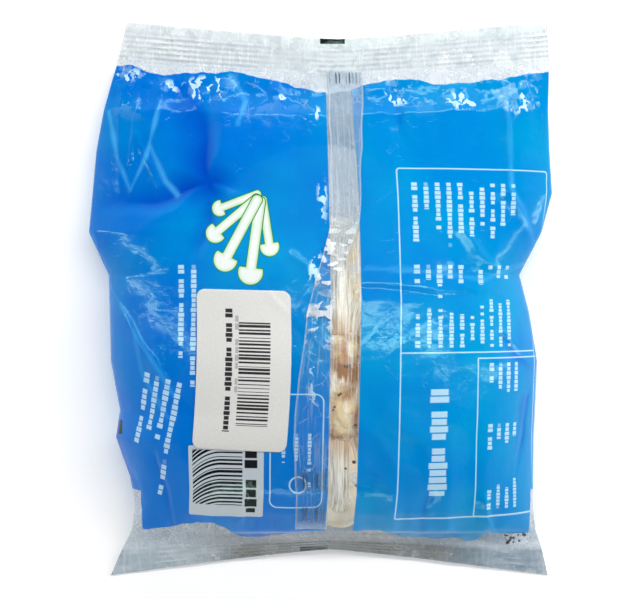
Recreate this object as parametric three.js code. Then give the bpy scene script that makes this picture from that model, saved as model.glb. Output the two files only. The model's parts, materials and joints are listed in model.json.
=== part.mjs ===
// A flow-wrapped bag of white beech mushrooms, lying on its front with its back seam up.
// Millimetres, +Z up. The origin is under the middle of the bag, on the surface that it lies on.
// +X runs across the bag and +Y runs along it, towards the top seal.
import * as THREE from "three";

// ---- The film ----
const wall = 0.5; // stands for one layer of 0.05 mm film
const edgeHalf = 0.8; // half the height of the bag's thin side edge
const sealThickness = 1.0; // the two layers fused by the sealing jaws

// The bag's stations from the bottom seal to the top seal.
// y is on the centre line and bow is how much further along the side edges lie. left and right are
// the side edges. crown, floor and side are the heights of the back, the front and the side edge.
// open is 0 where the layers meet at a seal and 1 where the bag is full.
const stations = [
  { y: -78.5, bow: -4.0, left: -66.0, right: 73.5, crown: 20, floor: 8.0, side: 6, open: 0.0 },
  { y: -74.0, bow: -2.0, left: -62.5, right: 71.0, crown: 29, floor: 4.0, side: 9, open: 0.8 },
  { y: -67.0, bow: -0.8, left: -61.0, right: 69.8, crown: 35, floor: 1.5, side: 12, open: 1.0 },
  { y: -58.0, bow: 0.0, left: -62.5, right: 69.5, crown: 41, floor: 0.0, side: 14, open: 1.0 },
  { y: -45.0, bow: 0.0, left: -67.0, right: 69.5, crown: 45, floor: 0.0, side: 15, open: 1.0 },
  { y: -36.0, bow: 0.0, left: -65.5, right: 69.8, crown: 46, floor: 0.0, side: 16, open: 1.0 },
  { y: -20.0, bow: 0.0, left: -68.5, right: 70.5, crown: 46, floor: 0.0, side: 16, open: 1.0 },
  { y: -4.0, bow: 0.0, left: -69.0, right: 68.0, crown: 43, floor: 0.0, side: 15, open: 1.0 },
  { y: 8.0, bow: 0.0, left: -69.5, right: 65.0, crown: 40, floor: 0.0, side: 14, open: 1.0 },
  { y: 22.0, bow: 0.0, left: -76.3, right: 72.5, crown: 34, floor: 0.0, side: 12, open: 1.0 },
  { y: 35.0, bow: 0.0, left: -75.4, right: 76.3, crown: 29, floor: 0.4, side: 10, open: 1.0 },
  { y: 48.0, bow: 1.0, left: -74.3, right: 75.6, crown: 24, floor: 1.4, side: 9, open: 1.0 },
  { y: 60.0, bow: 2.5, left: -72.0, right: 75.3, crown: 19, floor: 3.2, side: 8, open: 1.0 },
  { y: 68.0, bow: 4.2, left: -69.6, right: 75.8, crown: 15, floor: 6.0, side: 7, open: 0.6 },
  { y: 73.5, bow: 6.0, left: -67.6, right: 76.0, crown: 13, floor: 9.0, side: 6, open: 0.0 },
];
const between = 6; // the longest step in mm between two rings of the film
const across = 14; // steps across each of the bag's two sides

// The end seals. centre and corner are the heights of the seal's line in the middle and at its ends.
const bottomSeal = {
  inner: { y: -79.0, bow: -4.3, left: -66.6, right: 73.8, centre: 13, corner: 4.5 },
  outer: { y: -83.5, bow: -9.2, left: -70.6, right: 76.3, centre: 4, corner: 1.2 },
};
const topSeal = {
  inner: { y: 74.0, bow: 6.0, left: -67.5, right: 76.0, centre: 11, corner: 5.0 },
  outer: { y: 85.9, bow: 6.8, left: -64.8, right: 75.6, centre: 10, corner: 4.0 },
};

// ---- The back seam, a fin of two film edges, folded right near the top and left below ----
const fin = {
  root: 3.5,
  width: 11.5,
  bottom: -71,
  top: 67,
  turnFrom: -6, // the fold changes side over this stretch
  turnTo: 28,
  thickness: 0.8,
  lift: 1.4, // over the back panel
};

// ---- The price label ----
const label = {
  centre: [-24.2, -21.8],
  width: 29.4,
  length: 49.5,
  turn: THREE.MathUtils.degToRad(-1.5),
  thickness: 0.3,
  lift: 0.7,
};

// ---- The mushroom cluster, pressed flat with its cut base under the back panel ----
const cluster = { x: 6, y: -27 };
const base = { radius: 16.4, top: 43.6, bottom: 32.2, lump: 0.7 };
const roundSteps = 8; // sides of a stem or a cap

// Each ring of mushrooms: how many, where the stems leave the base and where they end, as a distance
// from the cluster's middle and a height, then the bend's corner, and the sizes of stem and cap.
const rings = [
  {
    count: 12, turned: 0, stem: 3.1, cap: 8.3, capHeight: 7.4,
    start: [18.2, 36.6], bend: [31, 37.2], end: [41.2, 20.8], reach: 3.0,
  },
  {
    count: 10, turned: 4, stem: 2.9, cap: 7.4, capHeight: 6.6,
    start: [14.4, 31.6], bend: [15.6, 20.5], end: [27.2, 12.0], reach: 2.2,
  },
  {
    count: 6, turned: 30, stem: 2.5, cap: 6.4, capHeight: 5.6,
    start: [7.6, 31.6], bend: [7.9, 18], end: [14.2, 11.5], reach: 0.0,
  },
  {
    count: 1, turned: 0, stem: 2.4, cap: 4.8, capHeight: 4.6,
    start: [0, 31.6], bend: [0, 22], end: [0.3, 13.5], reach: 0.0,
  },
  {
    count: 12, turned: 15, stem: 1.5, cap: 3.0, capHeight: 2.8,
    start: [18.4, 38.4], bend: [25, 38.4], end: [29.5, 35.2], reach: 0.0,
  },
];

// ---- Bits that broke off: two slid down to the bottom seal, the crumbs lie beside the base ----
const looseBit = {
  path: [[53, -74.0, 10.2], [56.5, -74.4, 10.0], [60, -75.2, 9.6]], stem: 0.9, cap: 1.7, capHeight: 1.5,
};
const chip = {
  path: [[-41, -71, 12.5], [-39, -72, 13], [-36.5, -71.6, 13.2]], foot: 1.2, belly: 1.6, tip: 1.1,
  length: 4.6, sides: 7,
};
// Each crumb of the growing block: where its middle lies, and half its length.
const crumbs = [
  { at: [10.6, -38.6, 43.9], size: 0.7 },
  { at: [12.2, -41.8, 43.2], size: 0.7 },
  { at: [10.2, -50.2, 41.8], size: 0.9 },
  { at: [7.6, -52.2, 41.4], size: 0.6 },
  { at: [4.2, -33.0, 44.2], size: 0.5 },
];
const crumbShape = [1, 0.8, 0.6]; // length, width and height, as shares of its size

// A number from 0 to 1 that is always the same for the same seed.
function chance(seed) {
  const wave = Math.sin(seed * 127.1 + 311.7) * 43758.5453;
  return wave - Math.floor(wave);
}

// The index of the last station at or below y that has another above it.
function stationBelow(y) {
  const above = stations.findIndex((s) => s.y > y);
  return above < 0 ? stations.length - 2 : Math.max(above - 1, 0);
}

// The value on straight lines between the stations: the outline has corners.
function straight(field, y) {
  const [a, b] = stations.slice(stationBelow(y));
  const within = THREE.MathUtils.clamp(y, a.y, b.y);
  return THREE.MathUtils.mapLinear(within, a.y, b.y, a[field], b[field]);
}

// The value of one field at y, on a smooth curve through the stations.
function through(field, y) {
  const i = stationBelow(y);
  const [a, b] = stations.slice(i);
  const slope = (k) => {
    const [p, q] = [stations[Math.max(k - 1, 0)], stations[Math.min(k + 1, stations.length - 1)]];
    return (q[field] - p[field]) / (q.y - p.y);
  };
  const step = b.y - a.y;
  const t = THREE.MathUtils.clamp((y - a.y) / step, 0, 1);
  const chord = (b[field] - a[field]) / step;
  const bend = t * (1 - t) * step * ((slope(i) - chord) * (1 - t) - (slope(i + 1) - chord) * t);
  return straight(field, y) + bend;
}

// How full the back (the crowned side) and the front (flat where it rests) are at u, -1 to 1 across.
const crowned = (u) => Math.pow(1 - Math.pow(Math.abs(u), 2.4), 0.75);
const flatUntil = 0.55;
function settled(u) {
  const past = Math.max(0, Math.abs(u) - flatUntil) / (1 - flatUntil);
  return Math.sqrt(1 - Math.pow(past, 2.2));
}

// The height of a seal's line at u.
const sealHeight = (end, u) => end.centre + (end.corner - end.centre) * Math.pow(Math.abs(u), 1.5);

// The heights of the film's outer face on the back and on the front at station y.
function heights(u, y) {
  const [crown, side] = [through("crown", y), through("side", y)];
  const floor = Math.max(0, straight("floor", y));
  const open = THREE.MathUtils.clamp(straight("open", y), 0, 1);
  const line = sealHeight(y > 0 ? topSeal.inner : bottomSeal.inner, u);
  const back = side + edgeHalf + (crown - side - edgeHalf) * crowned(u);
  const front = side - edgeHalf - (side - edgeHalf - floor) * settled(u);
  return {
    back: THREE.MathUtils.lerp(line + edgeHalf, back, open),
    front: THREE.MathUtils.lerp(line - edgeHalf, front, open),
  };
}

const bowed = (y, bow, u) => y + bow * Math.pow(Math.abs(u), 1.2);
const spread = (left, right, u) => (left + right) / 2 + ((right - left) / 2) * u;

// The height of the back panel's outer face over the point x, y, away from the seals.
function backHeight(x, y) {
  const [left, right] = [straight("left", y), straight("right", y)];
  const u = THREE.MathUtils.clamp((2 * x - left - right) / (right - left), -1, 1);
  return heights(u, y).back;
}

function geometryOf(points, faces) {
  const made = new THREE.BufferGeometry();
  const flat = points.flatMap((p) => [p.x, p.y, p.z]);
  made.setAttribute("position", new THREE.Float32BufferAttribute(flat, 3));
  made.setIndex(faces.flat());
  made.computeVertexNormals();
  return made;
}

// A closed plate over a grid: under(i, j) is a point of its lower face, which faces down.
function plate(rows, columns, thickness, under) {
  const points = [];
  for (const lift of [0, thickness])
    for (let i = 0; i <= rows; i++)
      for (let j = 0; j <= columns; j++)
        points.push(under(i, j).add(new THREE.Vector3(0, 0, lift)));
  const layer = (rows + 1) * (columns + 1);
  const at = (i, j, k) => k * layer + i * (columns + 1) + j;
  const faces = [];
  const quad = (a, b, c, d) => faces.push([a, b, c], [a, c, d]);
  for (let i = 0; i < rows; i++)
    for (let j = 0; j < columns; j++) {
      quad(at(i, j, 0), at(i + 1, j, 0), at(i + 1, j + 1, 0), at(i, j + 1, 0));
      quad(at(i, j, 1), at(i, j + 1, 1), at(i + 1, j + 1, 1), at(i + 1, j, 1));
    }
  for (let j = 0; j < columns; j++) {
    quad(at(0, j, 0), at(0, j + 1, 0), at(0, j + 1, 1), at(0, j, 1));
    quad(at(rows, j + 1, 0), at(rows, j, 0), at(rows, j, 1), at(rows, j + 1, 1));
  }
  for (let i = 0; i < rows; i++) {
    quad(at(i + 1, 0, 0), at(i, 0, 0), at(i, 0, 1), at(i + 1, 0, 1));
    quad(at(i, columns, 0), at(i + 1, columns, 0), at(i + 1, columns, 1), at(i, columns, 1));
  }
  return geometryOf(points, faces);
}

// One ring of the film at y, round the back and then the front. inset 0 gives its outer face.
function filmRing(y, inset) {
  const ring = [];
  const [left, right] = [straight("left", y) + inset, straight("right", y) - inset];
  for (const back of [true, false])
    for (let k = 0; k <= across; k++) {
      const u = Math.sin((k / across - 0.5) * Math.PI) * (back ? 1 : -1);
      const h = heights(u, y);
      const z = back ? h.back - inset : h.front + inset;
      ring.push(new THREE.Vector3(spread(left, right, u), bowed(y, straight("bow", y), u), z));
    }
  return ring;
}

// The film's tube, open at both ends, with a wall between its outer and inner faces.
function filmTube() {
  const places = [];
  stations.slice(1).forEach((s, i) => {
    const steps = Math.ceil((s.y - stations[i].y) / between);
    for (let k = 0; k < steps; k++)
      places.push(THREE.MathUtils.lerp(stations[i].y, s.y, k / steps));
  });
  places.push(stations.at(-1).y);
  const loops = [
    ...places.map((y) => filmRing(y, 0)),
    ...places.toReversed().map((y) => filmRing(y, wall)),
  ];
  const sides = loops[0].length;
  const faces = [];
  loops.forEach((_, i) => {
    const [a, b] = [i * sides, ((i + 1) % loops.length) * sides];
    for (let k = 0; k < sides; k++) {
      const n = (k + 1) % sides;
      faces.push([a + k, a + n, b + n], [a + k, b + n, b + k]);
    }
  });
  return geometryOf(loops.flat(), faces);
}

// An end seal, a thin ribbon from its inner line to its outer edge.
function endSeal(seal) {
  const [rows, columns] = [2, 16];
  const [low, high] = seal.inner.y < seal.outer.y ? [seal.inner, seal.outer] : [seal.outer, seal.inner];
  return plate(rows, columns, sealThickness, (i, j) => {
    const [u, t] = [(2 * j) / columns - 1, i / rows];
    const mixed = (value) => THREE.MathUtils.lerp(value(low), value(high), t);
    return new THREE.Vector3(
      mixed((e) => spread(e.left, e.right, u)),
      mixed((e) => bowed(e.y, e.bow, u)),
      mixed((e) => sealHeight(e, u)) - sealThickness / 2,
    );
  });
}

// The fin lies flat over the back panel and changes sides on its way up.
function backFin() {
  const [rows, columns] = [24, 3];
  return plate(rows, columns, fin.thickness, (i, j) => {
    const y = THREE.MathUtils.lerp(fin.bottom, fin.top, i / rows);
    const turned = THREE.MathUtils.smoothstep(y, fin.turnFrom, fin.turnTo);
    const middle = fin.root + (turned - 0.5) * fin.width;
    const x = middle + (j / columns - 0.5) * fin.width;
    return new THREE.Vector3(x, y, backHeight(x, y) + fin.lift);
  });
}

function priceLabel() {
  const [rows, columns] = [8, 4];
  return plate(rows, columns, label.thickness, (i, j) => {
    const place = new THREE.Vector2(
      (j / columns - 0.5) * label.width, (i / rows - 0.5) * label.length,
    );
    place.rotateAround(new THREE.Vector2(), label.turn).add(new THREE.Vector2(...label.centre));
    return new THREE.Vector3(place.x, place.y, backHeight(place.x, place.y) + label.lift);
  });
}

// The cut base of the cluster, a lumpy disc of fused stem feet.
function clusterBase() {
  const { radius, top, bottom } = base;
  const thick = top - bottom;
  const outline = [
    [0, 0], [radius * 0.6, 0], [radius * 0.9, thick * 0.08], [radius, thick * 0.35],
    [radius * 0.97, thick * 0.7], [radius * 0.82, thick * 0.93], [radius * 0.45, thick], [0, thick],
  ].map((p) => new THREE.Vector2(...p));
  const made = new THREE.LatheGeometry(outline, 20).rotateX(Math.PI / 2);
  const spots = made.getAttribute("position");
  for (let i = 0; i < spots.count; i++) {
    const turn = Math.atan2(spots.getY(i), spots.getX(i));
    const swell = 1 + (base.lump / radius) * Math.sin(5 * turn) * Math.cos(3 * turn + 1);
    spots.setXYZ(i, spots.getX(i) * swell, spots.getY(i) * swell, spots.getZ(i));
  }
  return made.translate(cluster.x, cluster.y, bottom);
}

// A mushroom standing on the origin along +Y, its stem's foot a little thicker than its neck.
function standingMushroom(length, stem, cap, capHeight) {
  const outline = [
    [0, 0], [stem, 0], [stem * 1.08, length * 0.12], [stem * 0.98, length * 0.4],
    [stem * 0.9, length * 0.7], [stem * 0.92, length * 0.97], [cap * 0.86, length - 0.4],
    [cap, length + capHeight * 0.16], [cap * 0.92, length + capHeight * 0.55],
    [cap * 0.58, length + capHeight * 0.9], [0, length + capHeight],
  ].map((p) => new THREE.Vector2(...p));
  return new THREE.LatheGeometry(outline, roundSteps);
}

// Bends a shape that stands along +Y so that its first length millimetres follow the curve.
function bendAlong(shape, curve) {
  const [length, steps] = [curve.getLength(), 40];
  const frames = curve.computeFrenetFrames(steps, false);
  const spots = shape.getAttribute("position");
  for (let i = 0; i < spots.count; i++) {
    const y = spots.getY(i);
    const t = THREE.MathUtils.clamp(y / length, 0, 1);
    const k = Math.round(t * steps);
    const place = curve.getPointAt(t)
      .addScaledVector(frames.tangents[k], y - t * length)
      .addScaledVector(frames.normals[k], spots.getZ(i))
      .addScaledVector(frames.binormals[k], spots.getX(i));
    spots.setXYZ(i, place.x, place.y, place.z);
  }
  return shape;
}

// The mushrooms' reach is longer to the sides and the top than towards the near bottom seal.
function mushroom(ring, k, seed) {
  const vary = (amount, n) => 1 + amount * (2 * chance(seed + n) - 1);
  const turn = THREE.MathUtils.degToRad(ring.turned + (360 * k) / ring.count);
  const reach = ring.reach * (Math.sin(turn) + 0.35 * Math.cos(turn) ** 2);
  const at = ([r, z], more) => new THREE.Vector3(
    cluster.x + (r + more) * Math.cos(turn), cluster.y + (r + more) * Math.sin(turn), z,
  );
  const path = new THREE.QuadraticBezierCurve3(
    at(ring.start, 0), at(ring.bend, reach * 0.5), at(ring.end, reach + 1.2 * (chance(seed) - 0.5)),
  );
  const sizes = [ring.stem * vary(0.08, 1), ring.cap * vary(0.1, 2), ring.capHeight * vary(0.08, 3)];
  return bendAlong(standingMushroom(path.getLength(), ...sizes), path);
}

const curveOf = (path) => new THREE.QuadraticBezierCurve3(...path.map((p) => new THREE.Vector3(...p)));

function looseMushroom() {
  const path = curveOf(looseBit.path);
  const shape = standingMushroom(path.getLength(), looseBit.stem, looseBit.cap, looseBit.capHeight);
  return bendAlong(shape, path);
}

function stemChip() {
  const { foot, belly, tip, length, sides } = chip;
  const outline = [[0, 0], [foot, 0], [belly, length * 0.52], [tip, length * 0.96], [0, length]];
  const shape = new THREE.LatheGeometry(outline.map((p) => new THREE.Vector2(...p)), sides);
  return bendAlong(shape, curveOf(chip.path));
}

const blockCrumb = ({ at, size }) =>
  new THREE.IcosahedronGeometry(size, 0).scale(...crumbShape).translate(...at);

// ---- Materials ----
const look = (color, roughness) => new THREE.MeshStandardMaterial({ color, roughness, metalness: 0 });
const printedFilm = look(0x0078d8, 0.18);
const clearFilm = look(0xc9d4dc, 0.15);
clearFilm.transparent = true;
clearFilm.opacity = 0.45;
const labelPaper = look(0xe9e8e4, 0.5);
const flesh = look(0xece6d6, 0.55);
const cutBase = look(0xc9a878, 0.85);
const growingBlock = look(0x2a1c14, 0.8);

const bag = new THREE.Group();
bag.name = "mushroom_bag";
function add(parent, name, geometry, material) {
  const mesh = new THREE.Mesh(geometry, material);
  mesh.name = name;
  parent.add(mesh);
}

const wrapper = new THREE.Group();
add(wrapper, "film_tube", filmTube(), printedFilm);
add(wrapper, "top_end_seal", endSeal(topSeal), clearFilm);
add(wrapper, "bottom_end_seal", endSeal(bottomSeal), clearFilm);
add(wrapper, "back_fin_seal", backFin(), clearFilm);
add(wrapper, "price_label", priceLabel(), labelPaper);

const contents = new THREE.Group();
add(contents, "cluster_base", clusterBase(), cutBase);
let made = 0;
for (const ring of rings)
  for (let k = 0; k < ring.count; k++) {
    made += 1;
    const name = `mushroom_${String(made).padStart(2, "0")}`;
    add(contents, name, mushroom(ring, k, made), flesh);
  }
add(contents, "loose_mushroom", looseMushroom(), flesh);
add(contents, "stem_chip", stemChip(), flesh);
crumbs.forEach((crumb, k) => add(contents, `block_crumb_0${k + 1}`, blockCrumb(crumb), growingBlock));

bag.add(wrapper, contents);
export default bag;
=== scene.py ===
import json
import math
from functools import partial

import bpy
import numpy as np
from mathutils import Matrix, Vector, noise

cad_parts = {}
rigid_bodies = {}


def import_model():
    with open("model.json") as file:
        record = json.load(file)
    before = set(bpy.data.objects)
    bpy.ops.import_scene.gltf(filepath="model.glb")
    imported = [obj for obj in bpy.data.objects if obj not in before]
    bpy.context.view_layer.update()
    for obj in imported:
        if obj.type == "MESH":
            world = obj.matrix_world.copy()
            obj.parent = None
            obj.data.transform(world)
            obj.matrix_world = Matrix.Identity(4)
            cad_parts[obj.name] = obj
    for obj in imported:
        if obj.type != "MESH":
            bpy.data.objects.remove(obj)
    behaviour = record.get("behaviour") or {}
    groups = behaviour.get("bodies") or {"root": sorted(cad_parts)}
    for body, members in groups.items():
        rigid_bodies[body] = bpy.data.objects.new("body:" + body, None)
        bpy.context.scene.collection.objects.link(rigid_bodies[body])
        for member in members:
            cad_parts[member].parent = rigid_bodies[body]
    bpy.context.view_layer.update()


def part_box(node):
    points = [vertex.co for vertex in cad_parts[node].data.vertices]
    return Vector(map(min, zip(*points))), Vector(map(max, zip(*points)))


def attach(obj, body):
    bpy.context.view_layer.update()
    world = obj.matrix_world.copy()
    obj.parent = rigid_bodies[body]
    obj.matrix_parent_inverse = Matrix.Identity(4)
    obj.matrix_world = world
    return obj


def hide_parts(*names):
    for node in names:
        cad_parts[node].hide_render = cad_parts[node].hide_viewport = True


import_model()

mm = 0.001

# straight above the bag, with a rather long lens
camera = {"height": 500 * mm, "lens": 83.5, "x": -0.3 * mm, "y": 0}

# tall narrow softboxes, which show on the film only as thin lights along its creases
lights = {
    "left strip light": {"place": (-0.84, 0.15, 0.4), "aim": (0, 0, 0), "size": (0.05, 0.9), "power": 2.3},
    "right strip light": {"place": (0.84, 0.05, 0.38), "aim": (0, 0, 0), "size": (0.05, 0.9), "power": 2.1},
    "far strip light": {"place": (0.1, 0.88, 0.38), "aim": (0, 0, 0), "size": (0.8, 0.08), "power": 3.2},
    "near strip light": {"place": (-0.1, -0.88, 0.4), "aim": (0, 0, 0), "size": (0.8, 0.08), "power": 1.6},
    "ceiling strip light": {
        "place": (0.36, 0.27, 0.72), "aim": (0.36, 0.27, 0), "size": (0.9, 0.08), "power": 4.9},
}
studio = {
    "floor": 0.98, "floorGlow": 0.22,
    "horizon": 1, "overhead": 0.035,  # brightness of the surroundings near the horizon and above the bag
    "bandTop": 0.2, "fadeTop": 0.5,  # heights on a unit dome where the bright band ends and has faded
}


def deselectAll():
    for o in bpy.context.view_layer.objects:
        o.select_set(False)


# a flat grid to shape: the piece, and how far across and along it each of its points is, from 0 to 1
def startGrid(name, columns, rows):
    deselectAll()
    bpy.ops.mesh.primitive_grid_add(x_subdivisions=columns, y_subdivisions=rows, size=2)
    piece = bpy.context.object
    piece.name = name
    corners = np.array([v.co for v in piece.data.vertices])
    return piece, (corners[:, 0] + 1) / 2, (corners[:, 1] + 1) / 2


# moves a piece's points to their places in mm
def moveTo(piece, places):
    piece.data.vertices.foreach_set("co", (places * mm).astype(np.float32).ravel())


# stores a number or a vector with each point, for the materials to read
def keep(piece, name, values):
    kind, field = ("FLOAT_VECTOR", "vector") if values.ndim > 1 else ("FLOAT", "value")
    made = piece.data.attributes.new(name, kind, "POINT")
    made.data.foreach_set(field, values.astype(np.float32).ravel())


def srgb(hexColour):
    values = [int(hexColour[i:i + 2], 16) / 255 for i in (0, 2, 4)]
    return tuple(v / 12.92 if v <= 0.04045 else ((v + 0.055) / 1.055) ** 2.4 for v in values) + (1,)


# adds a shader node: its kind, its mode where it has one, and what goes into its open sockets in order, or a
# dictionary of that by name. An operation in capitals stands for a Math node, and joins more than two values
# two at a time.
def add(tree, kind, *inputs, out=0, **settings):
    if kind.isupper():
        if len(inputs) > 2:
            inputs = add(tree, kind, *inputs[:-1]), inputs[-1]
        kind, inputs = "Math", (kind, *inputs)
    mode = None
    if inputs and isinstance(inputs[0], str):
        mode, *inputs = inputs
    made = tree.nodes.new("ShaderNode" + kind)
    if mode:
        setattr(made, "data_type" if kind == "Mix" else "operation", mode)
    for name, setting in settings.items():
        setattr(made, name, setting)
    if inputs and isinstance(inputs[0], dict):
        pairs = [(made.inputs[name], value) for name, value in inputs[0].items()]
    else:
        pairs = zip([s for s in made.inputs if s.enabled], inputs)
    for socket, value in pairs:
        if isinstance(value, bpy.types.NodeSocket):
            tree.links.new(value, socket)
        else:
            socket.default_value = value
    outputs = [s for s in made.outputs if s.enabled]
    return outputs[out] if outputs else made


def startMaterial(name):
    material = bpy.data.materials.new(name)
    material.use_nodes = True
    material.node_tree.nodes.clear()
    return material, partial(add, material.node_tree)


# starts a sheet's material, and reads each point's own flat place on the sheet in mm
def startSheet(name):
    material, node = startMaterial(name)
    place = node("Attribute", out=1, attribute_name="place")
    return material, node, place, *node("SeparateXYZ", place).node.outputs[:2]


# the bag's rings from the bottom seal to the top seal, in mm:
# y, bow of the ring's ends, left edge, right edge, crown of the back, underside, side edge, openness
filmRings = np.array([
    (-78.5, -4, -66, 73.5, 20, 8, 6, 0),
    (-74, -2, -62.5, 71, 29, 4, 9, 0.8),
    (-67, -0.8, -61, 69.8, 35, 1.5, 12, 1),
    (-58, 0, -62.5, 69.5, 41, 0, 14, 1),
    (-45, 0, -67, 69.5, 45, 0, 15, 1),
    (-36, 0, -65.5, 69.8, 46, 0, 16, 1),
    (-20, 0, -68.5, 70.5, 46, 0, 16, 1),
    (-4, 0, -69, 68, 43, 0, 15, 1),
    (8, 0, -69.5, 65, 40, 0, 14, 1),
    (22, 0, -76.3, 72.5, 34, 0, 12, 1),
    (35, 0, -75.4, 76.3, 29, 0.4, 10, 1),
    (48, 1, -74.3, 75.6, 24, 1.4, 9, 1),
    (60, 2.5, -72, 75.3, 19, 3.2, 8, 1),
    (68, 4.2, -69.6, 75.8, 15, 6, 7, 0.6),
    (73.5, 6, -67.6, 76, 13, 9, 6, 0),
])
# each end seal's inner line and outer edge: y, bow, left, right, height in the middle, height at the corners
bottomSeal = np.array([(-78.5, -4, -66, 73.5, 13, 4.5), (-83.5, -9.2, -70.6, 76.2, 4, 1.2)])
topSeal = np.array([(73.5, 6, -67.6, 76, 11, 5), (85.9, 6.8, -64.8, 75.6, 10, 4)])

film = {
    "backColumns": 210, "frontColumns": 80,  # columns of the mesh across the back and the front
    "bodyStep": 0.8,  # mm between rows on the bag's body
    "sealStep": 0.27,  # mm between rows on the seals, close enough for their ribs
    "layer": 0.25,  # mm, half the thickness of a seal
    "ribPitch": 1.6,  # mm, of the ribs that the sealing jaws press in
    "ribDepth": 0.22,
    "steepSide": 2.8,  # how many times steeper a crease is on its steep side than on its broad one
    "largeFacet": 17, "largeHeight": 2.3,  # mm, of the flat facets that crushed film falls into
    "smallFacet": 8, "smallHeight": 0.85,
}

# listed creases on the back, in mm: from, to, height (a valley is negative), width of the broad side,
# which is the one on the right of somebody who looks from the first end to the second (a minus swaps them)
creases = [
    ((-33.7, 36.3), (-44, 72), -1.7, -15),
    ((-33.7, 36.3), (-67, 30), -1.7, 13),
    ((-33.7, 36.3), (-38, 14), -1.3, 9),
    ((-66, 67), (-65.5, 36.3), 1.1, 2),
    ((-62, 45.4), (-60.6, 75), 1.1, 1.8),
    ((-65.5, 36.3), (-62, 45.4), -0.7, 2.2),
    ((-60, 53.6), (-52.4, 37.3), 1.1, 2.4),
    ((-76, 21.9), (-69.5, 3.1), 1.3, 4.5),
    ((-69.5, 3.1), (-52.2, -20.5), 1.4, 4.5),
    ((-52.2, -20.5), (-45.8, -30.3), 0.9, 4),
    ((13, 3.5), (54, 1), -0.5, 3.5),
    ((60.7, 76), (61.8, 35.4), 1.2, 3),
    ((61.8, 35.4), (73, 12.7), 1.2, 3.5),
    ((66.8, -32), (62, -56), -1.4, 4.5),
    ((-66.8, -43), (-58.4, -66), -1.5, 5),
    ((-15.8, 2), (2, -15), 0.9, 3),
    ((-8, 14), (2, 4), 0.8, 2.6),
    ((45, 22), (58, 8), 0.8, 4),
    ((58, -12), (69, -24), -0.9, 4),
    ((24, 71), (27, 52), -0.7, 4),
    ((-52, -50), (-47, -74), -1, 4),
    ((34, -62), (31, -79), -0.7, 4),
    ((52, -64), (57, -80), 1.2, 3.5),
    ((-24, -64), (-27, -79), 1.2, 3.5),
]

# sharp creases with a painted highlight along each, drawn as paler ink, in mm: points along each, and how
# pale it is
highlightCreases = [
    (((-70, 62), (-66.5, 46), (-61.8, 35.4), (-56.5, 47), (-52.5, 66)), 0.75),
    (((-55.5, 50), (-50, 38), (-46, 33.5)), 0.75),
    (((-75.5, 22), (-70, 6), (-60, -8), (-52.2, -20.5), (-46, -30)), 0.4),
    (((-60, -8), (-56.5, -24), (-48, -37)), 0.3),
    (((14, 9.8), (30, 9), (52, 6.4), (67, 12)), 0.4),
    (((60.7, 70), (61.8, 36), (72.5, 12.5)), 0.35),
    (((66, -30), (62, -56)), 0.3),
    (((-30, 74), (-24.5, 65), (-27, 57)), 0.7),
]
# spots where crushed film catches the light, painted white, in mm: middle, half-size, and how much
crushedGlintSpots = [
    ((-37.5, 69.5), (10.5, 5.5), 1), ((-50, 69.5), (4, 4), 0.7), ((-13, 65), (6, 3), 0.8),
    ((-3, 60.5), (4, 3.5), 0.9), ((-64.5, 74.5), (8, 3.5), 0.8), ((22, 66), (11, 4), 0.75),
    ((45, 65.5), (13, 4.5), 0.8), ((66, 66), (9, 7), 0.8), ((-1.5, 9), (3.4, 8), 0.8),
    ((-2, -24), (3, 14), 0.55), ((0.5, 32), (2.5, 12), 0.6),
]

# the unprinted strip beside the back seam, in mm: its middle and half its width at some heights
strip = {"y": (-75, -60, 0, 33, 74), "x": (5.6, 6.6, 7.8, 7.3, 5.6), "half": (4.4, 4.4, 4.7, 4.7, 4)}
# the edges of the print along the top and the bottom of the back, from left to right
printTop = {"x": (-72, -63, -52, -40, -30, -20, -10, 0, 10, 20, 33, 41, 52, 62, 76),
            "y": (77, 78, 74.4, 75, 75, 73.8, 70.5, 68.3, 68.5, 72.4, 72.1, 70.5, 71.8, 73.5, 76.4)}
printBottom = {"x": (-68, -58, -50, -40, -34, -30, -26, -20, -10, 10, 19, 25, 30, 43, 48, 51, 54, 68, 76),
               "y": (-70, -75, -74, -71.6, -71.2, -73.6, -77.6, -77.4, -75.2, -74, -73.6, -76.6, -78, -78.4,
                     -79.6, -78.8, -75.8, -76.6, -76.6)}

label = {
    "centre": (-24.2, -21.8), "size": (29.4, 49.5), "turn": math.radians(-1.5), "corner": 2.6,
    "lift": 0.5, "thickness": 0.22, "paper": "d9d9d6",
}


def smoothThrough(y, column):
    ys, values = filmRings[:, 0], filmRings[:, column]
    low, high = np.roll(np.arange(len(ys)), 1), np.roll(np.arange(len(ys)), -1)
    low[0], high[-1] = 0, len(ys) - 1
    slopes = (values[high] - values[low]) / (ys[high] - ys[low])
    i = np.clip(np.searchsorted(ys, y, side="right") - 1, 0, len(ys) - 2)
    step = ys[i + 1] - ys[i]
    t = np.clip((y - ys[i]) / step, 0, 1)
    chord = (values[i + 1] - values[i]) / step
    bend = t * (1 - t) * step * ((slopes[i] - chord) * (1 - t) - (slopes[i + 1] - chord) * t)
    return values[i] + (values[i + 1] - values[i]) * t + bend


def straightThrough(y, column):
    return np.interp(y, filmRings[:, 0], filmRings[:, column])


def smoothstep(t):
    t = np.clip(t, 0, 1)
    return t * t * (3 - 2 * t)


def valueNoise(x, y, scale, seed):
    spots = zip(np.ravel(x) / scale, np.ravel(y) / scale)
    return np.array([noise.noise((a, b, seed)) for a, b in spots]).reshape(np.shape(x))


# thin where the noise crosses zero: a net of ridges
def ridges(x, y, scale, seed):
    return 0.32 - np.abs(valueNoise(x, y, scale, seed))


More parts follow.
